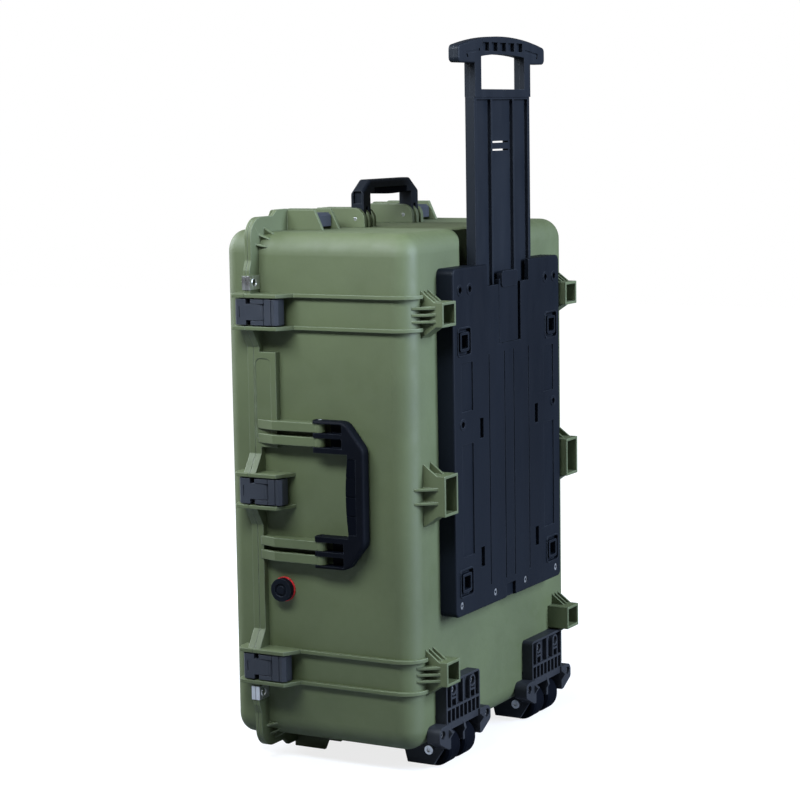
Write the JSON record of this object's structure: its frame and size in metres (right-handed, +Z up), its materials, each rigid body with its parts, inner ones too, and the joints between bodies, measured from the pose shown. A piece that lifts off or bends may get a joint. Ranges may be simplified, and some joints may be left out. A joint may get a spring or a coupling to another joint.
{
  "type": "wheeled hard case",
  "caption": "Upright wheeled hard case with a hinged lid, cam latches, folding carry handles, a telescoping trolley handle, tube feet and twin wheels in ribbed brackets.",
  "frame": {"origin": "centre of the standing case's footprint box, on the floor", "axes": "+Z up towards the pull grip, +X from the lid towards the feet and wheels, +Y from the front latches towards the lid hinge"},
  "size_m": [0.323, 0.55, 0.999],
  "materials": {
    "shell_green": "fine grained",
    "black_plastic": "satin",
    "latch_black": "satin",
    "grip_rubber": "matt",
    "gasket": "matt",
    "steel": "brushed",
    "valve_red": "gloss",
    "wheel_tyre": "matt",
    "wheel_hub": "satin"
  },
  "bodies": {
    "case_base": {"base_shell": "shell_green", "base_rim": "shell_green", "base_beads": "shell_green", "handle_mounts": "shell_green", "base_feet": "shell_green", "lid_hinge_pins": "steel", "valve_body": "black_plastic", "valve_ring": "valve_red", "valve_nut": "black_plastic", "padlock_plates_base": "steel", "trolley_tray": "black_plastic", "tray_screws": "steel", "wheel_bracket_near": "black_plastic", "wheel_bracket_far": "black_plastic", "bracket_screws": "steel", "axle_near": "steel", "axle_far": "steel", "front_handle_pins": "steel", "top_handle_pins": "steel", "latch_pins": "steel"},
    "lid": {"lid_shell": "shell_green", "lid_rim": "shell_green", "lid_gasket": "gasket", "padlock_plates_lid": "steel"},
    "front_handle": {"front_handle_frame": "black_plastic", "front_handle_grip": "grip_rubber"},
    "top_handle": {"top_handle_frame": "black_plastic", "top_handle_grip": "grip_rubber"},
    "trolley": {"trolley_mast": "black_plastic", "pull_grip_front": "black_plastic", "pull_grip_back": "black_plastic", "pull_grip_screws": "steel"},
    "tongue": {"release_tongue": "black_plastic"},
    "lever_front_upper": {"latch_lever_front_upper": "latch_black"},
    "link_front_upper": {"latch_link_front_upper": "latch_black"},
    "lever_front_middle": {"latch_lever_front_middle": "latch_black"},
    "link_front_middle": {"latch_link_front_middle": "latch_black"},
    "lever_front_lower": {"latch_lever_front_lower": "latch_black"},
    "link_front_lower": {"latch_link_front_lower": "latch_black"},
    "lever_top_near": {"latch_lever_top_near": "latch_black"},
    "link_top_near": {"latch_link_top_near": "latch_black"},
    "lever_top_far": {"latch_lever_top_far": "latch_black"},
    "link_top_far": {"latch_link_top_far": "latch_black"},
    "lever_bottom_near": {"latch_lever_bottom_near": "latch_black"},
    "link_bottom_near": {"latch_link_bottom_near": "latch_black"},
    "lever_bottom_far": {"latch_lever_bottom_far": "latch_black"},
    "link_bottom_far": {"latch_link_bottom_far": "latch_black"},
    "wheel_near_outer": {"tyre_near_outer": "wheel_tyre", "hub_near_outer": "wheel_hub", "sleeve_near_outer": "steel"},
    "wheel_near_inner": {"tyre_near_inner": "wheel_tyre", "hub_near_inner": "wheel_hub", "sleeve_near_inner": "steel"},
    "wheel_far_outer": {"tyre_far_outer": "wheel_tyre", "hub_far_outer": "wheel_hub", "sleeve_far_outer": "steel"},
    "wheel_far_inner": {"tyre_far_inner": "wheel_tyre", "hub_far_inner": "wheel_hub", "sleeve_far_inner": "steel"}
  },
  "joints": [
    {"name": "lid_hinge", "type": "hinge", "parent": "case_base", "child": "lid", "pos_m": [-0.1095, 0.267, 0.385], "axis": [0, 0, -1], "range_deg": [0, 110]},
    {"name": "front_handle_fold", "type": "hinge", "parent": "case_base", "child": "front_handle", "pos_m": [-0.0055, -0.255, 0.385], "axis": [0, 0, -1], "range_deg": [0, 95]},
    {"name": "top_handle_fold", "type": "hinge", "parent": "case_base", "child": "top_handle", "pos_m": [-0.0425, 0, 0.749], "axis": [0, 1, 0], "range_deg": [0, 90]},
    {"name": "trolley_slide", "type": "slide", "parent": "case_base", "child": "trolley", "axis": [0, 0, 1], "range_m": [-0.222, 0]},
    {"name": "tongue_flex", "type": "hinge", "parent": "case_base", "child": "tongue", "pos_m": [0.154, 0, 0.575], "axis": [0, 1, 0], "range_deg": [0, 6], "stiffness_Nm_per_rad": 4},
    {"name": "lever_front_upper_pivot", "type": "hinge", "parent": "case_base", "child": "lever_front_upper", "pos_m": [-0.1005, -0.2596, 0.631], "axis": [0, 0, -1], "range_deg": [0, 80]},
    {"name": "link_front_upper_pivot", "type": "hinge", "parent": "lever_front_upper", "child": "link_front_upper", "pos_m": [-0.0855, -0.267, 0.631], "axis": [0, 0, -1], "range_deg": [-80, 0]},
    {"name": "lever_front_middle_pivot", "type": "hinge", "parent": "case_base", "child": "lever_front_middle", "pos_m": [-0.1005, -0.2596, 0.385], "axis": [0, 0, -1], "range_deg": [0, 80]},
    {"name": "link_front_middle_pivot", "type": "hinge", "parent": "lever_front_middle", "child": "link_front_middle", "pos_m": [-0.0855, -0.267, 0.385], "axis": [0, 0, -1], "range_deg": [-80, 0]},
    {"name": "lever_front_lower_pivot", "type": "hinge", "parent": "case_base", "child": "lever_front_lower", "pos_m": [-0.1005, -0.2596, 0.139], "axis": [0, 0, -1], "range_deg": [0, 80]},
    {"name": "link_front_lower_pivot", "type": "hinge", "parent": "lever_front_lower", "child": "link_front_lower", "pos_m": [-0.0855, -0.267, 0.139], "axis": [0, 0, -1], "range_deg": [-80, 0]},
    {"name": "lever_top_near_pivot", "type": "hinge", "parent": "case_base", "child": "lever_top_near", "pos_m": [-0.1005, -0.144, 0.7456], "axis": [0, -1, 0], "range_deg": [0, 80]},
    {"name": "link_top_near_pivot", "type": "hinge", "parent": "lever_top_near", "child": "link_top_near", "pos_m": [-0.0855, -0.144, 0.753], "axis": [0, -1, 0], "range_deg": [-80, 0]},
    {"name": "lever_top_far_pivot", "type": "hinge", "parent": "case_base", "child": "lever_top_far", "pos_m": [-0.1005, 0.144, 0.7456], "axis": [0, -1, 0], "range_deg": [0, 80]},
    {"name": "link_top_far_pivot", "type": "hinge", "parent": "lever_top_far", "child": "link_top_far", "pos_m": [-0.0855, 0.144, 0.753], "axis": [0, -1, 0], "range_deg": [-80, 0]},
    {"name": "lever_bottom_near_pivot", "type": "hinge", "parent": "case_base", "child": "lever_bottom_near", "pos_m": [-0.1005, -0.144, 0.0244], "axis": [0, 1, 0], "range_deg": [0, 80]},
    {"name": "link_bottom_near_pivot", "type": "hinge", "parent": "lever_bottom_near", "child": "link_bottom_near", "pos_m": [-0.0855, -0.144, 0.017], "axis": [0, 1, 0], "range_deg": [-80, 0]},
    {"name": "lever_bottom_far_pivot", "type": "hinge", "parent": "case_base", "child": "lever_bottom_far", "pos_m": [-0.1005, 0.144, 0.0244], "axis": [0, 1, 0], "range_deg": [0, 80]},
    {"name": "link_bottom_far_pivot", "type": "hinge", "parent": "lever_bottom_far", "child": "link_bottom_far", "pos_m": [-0.0855, 0.144, 0.017], "axis": [0, 1, 0], "range_deg": [-80, 0]},
    {"name": "wheel_near_outer_spin", "type": "hinge", "parent": "case_base", "child": "wheel_near_outer", "pos_m": [0.1185, -0.158, 0.0265], "axis": [0, 1, 0], "continuous": true},
    {"name": "wheel_near_inner_spin", "type": "hinge", "parent": "case_base", "child": "wheel_near_inner", "pos_m": [0.1185, -0.112, 0.0265], "axis": [0, 1, 0], "continuous": true},
    {"name": "wheel_far_outer_spin", "type": "hinge", "parent": "case_base", "child": "wheel_far_outer", "pos_m": [0.1185, 0.158, 0.0265], "axis": [0, 1, 0], "continuous": true},
    {"name": "wheel_far_inner_spin", "type": "hinge", "parent": "case_base", "child": "wheel_far_inner", "pos_m": [0.1185, 0.112, 0.0265], "axis": [0, 1, 0], "continuous": true}
  ],
  "couplings": [
    {"joint": "link_front_upper_pivot", "follows": "lever_front_upper_pivot", "ratio": -1},
    {"joint": "link_front_middle_pivot", "follows": "lever_front_middle_pivot", "ratio": -1},
    {"joint": "link_front_lower_pivot", "follows": "lever_front_lower_pivot", "ratio": -1},
    {"joint": "link_top_near_pivot", "follows": "lever_top_near_pivot", "ratio": -1},
    {"joint": "link_top_far_pivot", "follows": "lever_top_far_pivot", "ratio": -1},
    {"joint": "link_bottom_near_pivot", "follows": "lever_bottom_near_pivot", "ratio": -1},
    {"joint": "link_bottom_far_pivot", "follows": "lever_bottom_far_pivot", "ratio": -1}
  ]
}
